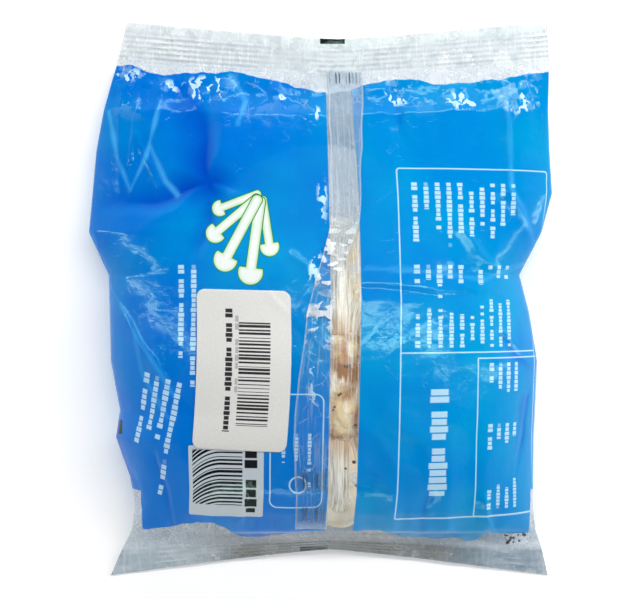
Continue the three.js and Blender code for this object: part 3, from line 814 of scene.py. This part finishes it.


# unprinted film edges crimped together: see-through, with fine ribs, and painted white highlights on its
# creases
def crimpedFilm():
    material, node, place, across, along = startSheet("clear polypropylene film, crimped")
    total = fin["top"] - fin["bottom"]
    # painted highlights on facets where the fin is crushed as it changes sides
    fromTurn = awayFrom(node, along, 80)
    ruffled = node("MapRange", fromTurn, 12, 27, 1, 0)
    flat = node("Mapping", {"Vector": place, "Scale": (0.8, 2, 1)})
    torn = node("MULTIPLY", litFacets(node, flat, 3, 9, 0.58), ruffled)
    net = node("MULTIPLY", creaseLines(node, place, 4, 9), 0.4)
    drawn = streaks(node, place, (1.4, 0.06), 2, 0.54, 0.66)
    half = fin["width"] / 2
    # painted highlights along both rims and at the ends
    rim = node("MapRange", awayFrom(node, across, half), half - 0.7, half - 0.3, 0, 0.4)
    ends = node("MapRange", along, 0.8, 4, 0.5, 0)
    lit = node("MAXIMUM", torn, net, rim, ends, node("MULTIPLY", drawn, 0.22))
    tint = node("Mix", "RGBA", lit, srgb("a9c6dc"), srgb("f6fafb"))

    # ticks of ink that the crimping wheel has carried across
    ribs = node("DIVIDE", across, fin["ribPitch"])
    draw = node("TexWhiteNoise", node("FLOOR", ribs), noise_dimensions="1D")
    offRib = awayFrom(node, node("FRACT", ribs), 0.5)
    thin = node("MapRange", offRib, 0.12, 0.24, 1, 0)
    zones = []
    for middle, reach in ((total - 2.2, 2.6), (17, 3.8), (5.5, 3.4)):
        zones.append(node("MapRange", awayFrom(node, along, middle), 0.55 * reach, reach, 1, 0))
    ticks = node("MULTIPLY", node("MAXIMUM", *zones), thin,
                 node("MapRange", draw, 0.3, 0.8, 0.1, 0.9))
    base = node("Mix", "RGBA", ticks, tint, srgb("14202e"))
    haze = node("MapRange", along, 76, 108, 0.03, 0.18)
    alpha = node("ADD", node("MULTIPLY", lit, 0.55), haze)
    alpha = node("MAXIMUM", alpha, node("MULTIPLY", ticks, 0.8))
    shader = node("BsdfPrincipled", {"Base Color": base, "Alpha": alpha, "Roughness": 0.12, "IOR": 1.24})
    node("OutputMaterial", {"Surface": shader})
    return material


# coated thermal paper: an even matt white, with bars burnt in black
def thermalPaper():
    material, node, place, across, along = startSheet("coated thermal paper, heat printed")
    area = filledBox(node, place, (3.4, -1), (4.9, 16), 0.05)
    barred = node("MULTIPLY", bars(node, along, 1.1, 3), area)
    rows = partial(blockRows, node, across, along)
    dark = node("MAXIMUM", barred, rows((-6, -3.1, -19, 19), 2.9, 2.3, 5, 90, 1.5))
    pale = node("MULTIPLY", rows((-3, -1.2, -15, 17), 1.8, 1.2, 9, 34, 2.4), 0.4)
    fibre = node("TexNoise", {"Vector": place, "Scale": 1.2, "Detail": 4})
    shade = node("MapRange", fibre, 0.3, 0.7)
    paper = node("Mix", "RGBA", shade, srgb(label["paper"]), srgb("e0e0dd"))
    marks = node("MAXIMUM", dark, pale)
    base = node("Mix", "RGBA", marks, paper, srgb("24262a"))
    bump = node("Bump", {"Strength": 0.15, "Distance": 0.1 * mm, "Height": fibre})
    shader = node("BsdfPrincipled", {"Base Color": base, "Normal": bump, "Roughness": 0.45, "IOR": 1.4})
    node("OutputMaterial", {"Surface": shader})
    return material


# a sheet over a grid: place(a, b) gives x, y, z in mm for a and b from 0 to 1, flat(a, b) its own x, y
def gridSheet(name, rows, columns, place, flat, thickness):
    piece, a, b = startGrid(name, columns, rows)
    moveTo(piece, np.stack(place(a, b), 1))
    keep(piece, "place", np.stack((*flat(a, b), 0 * a), 1))
    solid = piece.modifiers.new("sheet thickness", "SOLIDIFY")
    solid.thickness = thickness * mm
    solid.offset = 0
    bpy.ops.object.modifier_apply(modifier=solid.name)
    bpy.ops.object.shade_smooth()
    return piece


def makeFin():
    def place(a, b):
        y = fin["bottom"] + (fin["top"] - fin["bottom"]) * b
        root = np.interp(y, strip["y"], strip["x"]) - np.interp(y, strip["y"], strip["half"]) + 0.6
        turned = smoothstep((y - fin["turnFrom"]) / (fin["turnTo"] - fin["turnFrom"])) * 2 - 1
        middle = np.exp(-(((y - 8) / 22) ** 2))
        width = fin["width"] * (1 - 0.35 * middle) * (1 + 0.06 * np.sin(y / 9))
        x = root + width * ((a - 0.5) + 0.5 * turned) + 0.4 * valueNoise(a, y, 9, 81)
        ribs = fin["ribDepth"] * np.sin(2 * math.pi * a * fin["width"] / fin["ribPitch"])
        wave = 2.2 * middle * ridges(a * 9, y, 5, 83) + 0.3 * valueNoise(a * 9, y, 9, 87)
        return x, y, backHeight(x, y) + fin["lift"] + np.maximum(wave, -0.25) + ribs

    def flat(a, b):
        return a * fin["width"], b * (fin["top"] - fin["bottom"])

    return gridSheet("back_fin", fin["rows"], fin["columns"], place, flat, fin["thickness"])


def makeLabel():
    width, length = label["size"]

    # pulls the grid's corners in to round ones
    def flat(a, b):
        x, y = (a - 0.5) * width, (b - 0.5) * length
        straightX, straightY = width / 2 - label["corner"], length / 2 - label["corner"]
        dx, dy = np.maximum(np.abs(x) - straightX, 0), np.maximum(np.abs(y) - straightY, 0)
        both = (dx > 0) & (dy > 0)
        shrink = np.where(both, np.maximum(dx, dy) / np.maximum(np.hypot(dx, dy), 1e-6), 1)
        x = np.where(both, np.sign(x) * (straightX + dx * shrink), x)
        y = np.where(both, np.sign(y) * (straightY + dy * shrink), y)
        return x, y

    def place(a, b):
        x, y = flat(a, b)
        c, s = math.cos(label["turn"]), math.sin(label["turn"])
        px, py = label["centre"][0] + x * c - y * s, label["centre"][1] + x * s + y * c
        px += 0.9 * (np.sin(b * math.pi) - 0.6)
        curl = 0.5 * np.maximum(0, np.abs(a - 0.5) * 2 - 0.8) * np.abs(b - 0.5) * 2
        return px, py, backHeight(px, py) + label["lift"] + curl

    return gridSheet("price_label_sheet", 110, 66, place, flat, label["thickness"])


# fresh white beech mushroom: smooth matt caps, and moist fibrous stems that let light in at their edges
def mushroomFlesh():
    material, node = startMaterial("white beech mushroom flesh, fresh")
    part = node("Attribute", out=1, attribute_name="part")
    height, onCap = node("SeparateXYZ", part).node.outputs[1:3]
    drawn = node("Mapping", {"Vector": part, "Scale": (1.6, 0.1, 1)})
    fibres = node("TexNoise", {"Vector": drawn, "Scale": 1, "Detail": 3})
    place = node("TexCoord", out=3)
    spots = node("TexNoise", {"Vector": place, "Scale": 160, "Detail": 3})
    stem = node("Mix", "RGBA", node("MapRange", fibres, 0.36, 0.56), srgb("b5a888"), srgb("f6f1e4"))
    stained = node("MapRange", height, 0, 8, 0.6, 0)
    stem = node("Mix", "RGBA", stained, stem, srgb("c08a4c"))
    cap = node("Mix", "RGBA", node("MapRange", spots, 0.4, 0.7), srgb("f4eede"), srgb("e0d4b8"))
    base = node("Mix", "RGBA", node("MapRange", onCap, 0.4, 0.6), stem, cap)
    bump = node("Bump", {"Strength": 0.4, "Distance": 0.3 * mm, "Height": fibres})
    # a little light of its own stands for what comes in through the thin film all round
    shader = node("BsdfPrincipled", {
        "Base Color": base, "Normal": bump, "Roughness": 0.42, "Subsurface Weight": 0.2,
        "Subsurface Radius": (4 * mm, 3 * mm, 2 * mm), "Subsurface Scale": 0.5,
        "Emission Color": base, "Emission Strength": 0.3})
    node("OutputMaterial", {"Surface": shader})
    return material


# the cut foot of the cluster: cream flesh stained tan and brown by the sawdust that it grew on
def cutFoot():
    material, node = startMaterial("cut mushroom foot, stained by sawdust block")
    place = node("TexCoord", out=3)
    turned = node("Mapping", {
        "Vector": place, "Rotation": (0, 0, math.radians(35)), "Scale": (1, 0.3, 1)})
    strands = node("TexNoise", {"Vector": turned, "Scale": 300, "Detail": 3})
    patches = node("TexNoise", {"Vector": place, "Scale": 110, "Detail": 4})
    cells = node("TexVoronoi", {"Vector": turned, "Scale": 260})
    base = node("Mix", "RGBA", node("MapRange", patches, 0.38, 0.6), srgb("9a6430"), srgb("e4cd9c"))
    light = node("MapRange", strands, 0.5, 0.62, 0, 0.9)
    base = node("Mix", "RGBA", light, base, srgb("f7f0de"))
    rust = node("MapRange", cells, 0.5, 0.8, 0, 0.7)
    base = node("Mix", "RGBA", rust, base, srgb("a8591c"))
    dark = node("TexNoise", {"Vector": place, "Scale": 420, "Detail": 2})
    base = node("Mix", "RGBA", node("MapRange", dark, 0.66, 0.72), base, srgb("2a1c12"))
    bump = node("Bump", {"Strength": 0.8, "Distance": 0.8 * mm, "Height": strands})
    # a little painted light of its own stands for what comes in through the film all round
    shader = node("BsdfPrincipled", {
        "Base Color": base, "Normal": bump, "Roughness": 0.7,
        "Emission Color": base, "Emission Strength": 0.16})
    node("OutputMaterial", {"Surface": shader})
    return material


# damp crumbs of the growing block: nearly black, with a dull shine
def blockCrumb():
    material, node = startMaterial("growing block crumb, damp")
    place = node("TexCoord", out=3)
    grains = node("TexNoise", {"Vector": place, "Scale": 900, "Detail": 3})
    base = node("Mix", "RGBA", node("MapRange", grains, 0.4, 0.65), srgb("17100b"), srgb("4a2f1b"))
    bump = node("Bump", {"Strength": 0.7, "Distance": 0.3 * mm, "Height": grains})
    shader = node("BsdfPrincipled", {"Base Color": base, "Normal": bump, "Roughness": 0.5})
    node("OutputMaterial", {"Surface": shader})
    return material


# the cluster lies pressed flat with its cut foot under the back: rings of mushrooms round the foot, in mm
# as distance and height: count, turn, stem, cap and cap height, where the stems leave the foot, the corner
# of their bend, where they end, and their reach to the top and the sides
cluster = {
    "x": 6, "y": -27, "sides": 28, "profileSteps": 44,
    "joint": 2.2,  # mm that each stem runs on into the foot
    "rings": [
        (12, 0, 3.1, 8.3, 7.4, (18.2, 36.6), (31, 37.2), (41.2, 20.8), 3),
        (10, 4, 2.9, 7.4, 6.6, (14.4, 31.6), (15.6, 20.5), (27.2, 12), 2.2),
        (6, 30, 2.5, 6.4, 5.6, (7.6, 31.6), (7.9, 18), (14.2, 11.5), 0),
        (1, 0, 2.4, 4.8, 4.6, (0, 31.6), (0, 22), (0.3, 13.5), 0),
        (12, 15, 1.5, 3, 2.8, (18.4, 38.4), (25, 38.4), (29.5, 35.2), 0),
    ],
}


# from 0 to 1, always the same for the same seed
def chance(seed):
    wave = math.sin(seed * 127.1 + 311.7) * 43758.5453
    return wave - math.floor(wave)


# a mushroom that stands along +Y, from its foot over the neck, under the cap's rim and over the cap
def standingMushroom(name, length, stem, cap, capHeight, seed):
    profile = [(0, 0), (0.7 * stem, 0), (stem, 0.3)]
    profile += [(r * stem, y * length) for r, y in ((1.08, 0.12), (0.98, 0.4), (0.9, 0.7), (0.93, 0.93))]
    neck = len(profile)
    profile += [(cap * r, length - drop) for r, drop in ((0.45, 0.1), (0.8, 0.35), (0.93, 0.25))]
    profile += [(cap * r, length + capHeight * y) for r, y in (
        (1, 0.1), (0.985, 0.3), (0.9, 0.56), (0.72, 0.8), (0.42, 0.96), (0, 1))]
    points = np.array(profile)
    run = np.concatenate(([0], np.cumsum(np.hypot(*np.diff(points, axis=0).T))))
    at = np.unique(np.concatenate((run, np.linspace(0, run[-1], cluster["profileSteps"]))))
    rows, sides = len(at), cluster["sides"]
    piece, a, b = startGrid(name, sides, rows - 1)
    turn, row = np.rint(a * sides) / sides * 2 * math.pi, np.rint(b * (rows - 1)).astype(int)
    r, y = np.interp(at, run, points[:, 0])[row], np.interp(at, run, points[:, 1])[row]
    onCap = at[row] >= run[neck]
    gilled = (at[row] > run[neck]) & (at[row] < run[neck + 2])
    gills = np.where(gilled, 0.16 * np.cos(turn * sides / 2), 0)
    spots = zip(np.cos(turn) * 1.3, np.sin(turn) * 1.3, y / 6 + seed * 5.1)
    lumps = 1 + np.where(onCap, 0.05, 0.04) * np.array([noise.noise(s) for s in spots])
    shape = np.stack((r * lumps * np.cos(turn), y + gills, r * lumps * np.sin(turn)), 1)
    return piece, shape, np.stack((turn * stem, y, onCap * 1), 1)


def curvePoints(start, bend, end):
    p0, p1, p2 = (np.array(p, float) for p in (start, bend, end))
    s = np.linspace(0, 1, 60)[:, None]
    curve = (1 - s) ** 2 * p0 + 2 * s * (1 - s) * p1 + s**2 * p2
    return curve, np.concatenate(([0], np.cumsum(np.linalg.norm(np.diff(curve, axis=0), axis=1))))


# lays a shape that stands along +Y on the curve from start over the corner bend to end
def bendAlong(shape, start, bend, end):
    curve, run = curvePoints(start, bend, end)
    tangent = np.gradient(curve, run, axis=0)
    tangent /= np.linalg.norm(tangent, axis=1)[:, None]
    across = curve[-1] - curve[0]
    side = np.cross(across, (0, 0, 1)) if np.hypot(*across[:2]) > 0.5 else np.array((1, 0, 0))
    side = side / np.linalg.norm(side)
    y = shape[:, 1]
    at = np.clip(y, 0, run[-1])
    place = np.stack([np.interp(at, run, curve[:, k]) for k in range(3)], 1)
    forward = np.stack([np.interp(at, run, tangent[:, k]) for k in range(3)], 1)
    normal = np.cross(forward, side)
    return place + forward * (y - at)[:, None] + side * shape[:, [0]] + normal * shape[:, [2]]


def makeMushroom(name, path, stem, cap, capHeight, seed):
    length = float(curvePoints(*path)[1][-1])
    piece, shape, part = standingMushroom(name, length, stem, cap, capHeight, seed)
    moveTo(piece, bendAlong(shape, *path))
    keep(piece, "part", part)
    closeSkin(0.01 * mm)
    return piece


def makeMushrooms():
    made = []
    for count, turned, stem, cap, capHeight, start, bend, end, reach in cluster["rings"]:
        for k in range(count):
            seed = len(made) + 1
            turn = math.radians(turned + 360 * k / count)
            far = reach * (math.sin(turn) + 0.35 * math.cos(turn) ** 2)

            def at(place, more):
                return (cluster["x"] + (place[0] + more) * math.cos(turn),
                        cluster["y"] + (place[0] + more) * math.sin(turn), place[1])

            inwards = -cluster["joint"] if start[0] > cluster["joint"] else 0
            path = at(start, inwards), at(bend, far * 0.5), at(end, far + 1.2 * (chance(seed) - 0.5))
            vary = [1 + share * (2 * chance(seed + n + 1) - 1) for n, share in enumerate((0.08, 0.1, 0.08))]
            made.append(makeMushroom("mushroom_%02d_flesh" % seed, path, stem * vary[0], cap * vary[1],
                                     capHeight * vary[2], seed))
    return made


# a small mushroom that broke off and slid down to the bottom seal
loose = {
    "path": ((53.5, -75.3, 9.6), (58, -76.3, 9.4), (63, -76.3, 8.6)),
    "stem": 1.2, "cap": 2, "capHeight": 1.7, "seed": 77,
}


# a lump from a ball in the box from low to high in mm, rough by the share given
def makeLump(name, low, high, rough, detail, flatten=1):
    deselectAll()
    bpy.ops.mesh.primitive_ico_sphere_add(subdivisions=detail, radius=1)
    piece = bpy.context.object
    piece.name = name
    half, middle = (high - low) / 2, (high + low) / 2
    for v in piece.data.vertices:
        c = v.co.copy()
        lump = 1 + rough * (noise.noise(c * 3.2) + 0.6 * noise.noise(c * 8) + 0.3 * noise.noise(c * 19) - 0.5)
        c.z = math.copysign(abs(c.z) ** flatten, c.z)
        v.co = (middle + Vector([c[k] * half[k] * lump for k in range(3)])) * mm
    bpy.ops.object.shade_smooth()
    return piece


def boxOf(node):
    low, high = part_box(node)
    return Vector(low) / mm, Vector(high) / mm


def makeFoot():
    return makeLump("cluster_base_flesh", *boxOf("cluster_base"), 0.1, 6, 0.55)


def makeChip():
    piece = makeLump("stem_chip_flesh", *boxOf("stem_chip"), 0.3, 4)
    keep(piece, "part", np.tile((0, 20, 0), (len(piece.data.vertices), 1)))
    return piece


def makeCrumb(number):
    return makeLump("block_crumb_%02d_grain" % number, *boxOf("block_crumb_%02d" % number), 0.45, 3)


def makeStage():
    data = bpy.data.cameras.new("camera")
    data.lens = camera["lens"]
    data.clip_start = 10 * mm
    eye = bpy.data.objects.new("camera", data)
    eye.location = (camera["x"], camera["y"], camera["height"])
    bpy.context.scene.collection.objects.link(eye)
    bpy.context.scene.camera = eye
    for name, light in lights.items():
        data = bpy.data.lights.new(name, "AREA")
        data.shape = "RECTANGLE"
        data.size, data.size_y = light["size"]
        data.energy = light["power"]
        lamp = bpy.data.objects.new(name, data)
        bpy.context.scene.collection.objects.link(lamp)
        lamp.location = light["place"]
        towards = Vector(light["aim"]) - lamp.location
        lamp.rotation_euler = towards.to_track_quat("-Z", "Y").to_euler()

    deselectAll()
    bpy.ops.mesh.primitive_plane_add(size=1.5)
    floor = bpy.context.object
    floor.name = "floor"
    material, node = startMaterial("matt white paper sweep")
    shader = node("BsdfPrincipled", {
        "Base Color": (*[studio["floor"]] * 3, 1), "Roughness": 0.8,
        "Emission Color": (1, 1, 1, 1), "Emission Strength": studio["floorGlow"]})
    node("OutputMaterial", {"Surface": shader})
    floor.data.materials.append(material)

    # white walls all round and a dark ceiling, so that the film stays a deep blue from above
    world = bpy.data.worlds.new("studio")
    world.use_nodes = True
    node = partial(add, world.node_tree)
    up = node("SeparateXYZ", node("TexCoord"), out=2)
    glow = node("MapRange", up, studio["bandTop"], studio["fadeTop"], studio["horizon"], studio["overhead"])
    background = world.node_tree.nodes["Background"]
    background.inputs["Color"].default_value = (1, 1, 1, 1)
    world.node_tree.links.new(glow, background.inputs["Strength"])
    bpy.context.scene.world = world
    bpy.context.scene.view_settings.view_transform = "Standard"


def settle(piece, material, slot, *nodes):
    piece.data.materials.append(material)
    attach(piece, "root")
    if nodes:
        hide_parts(*nodes)


makeStage()
print("camera, floor and lights are set")
bag = makeFilm()
bag.data.materials.append(printedFilm("printed polypropylene film, left of the seam", leftPrint))
rightFilm = printedFilm("printed polypropylene film, right of the seam", rightPrint)
settle(bag, rightFilm, "printed_film", "film_tube", "top_end_seal", "bottom_end_seal")
print("the film bag is made")
settle(makeFin(), crimpedFilm(), "clear_film", "back_fin_seal")
settle(makeLabel(), thermalPaper(), "label_paper", "price_label")
print("the back fin and the price label are made")
flesh = mushroomFlesh()
for number, mushroom in enumerate(makeMushrooms(), 1):
    settle(mushroom, flesh, "mushroom_flesh", "mushroom_%02d" % number)
settle(makeMushroom("loose_mushroom_flesh", *loose.values()), flesh, "mushroom_flesh", "loose_mushroom")
settle(makeChip(), flesh, "mushroom_flesh", "stem_chip")
settle(makeFoot(), cutFoot(), "cut_base", "cluster_base")
crumb = blockCrumb()
for number in range(1, 6):
    settle(makeCrumb(number), crumb, "block_crumb", "block_crumb_%02d" % number)
print("the mushrooms, their foot and the crumbs are made")
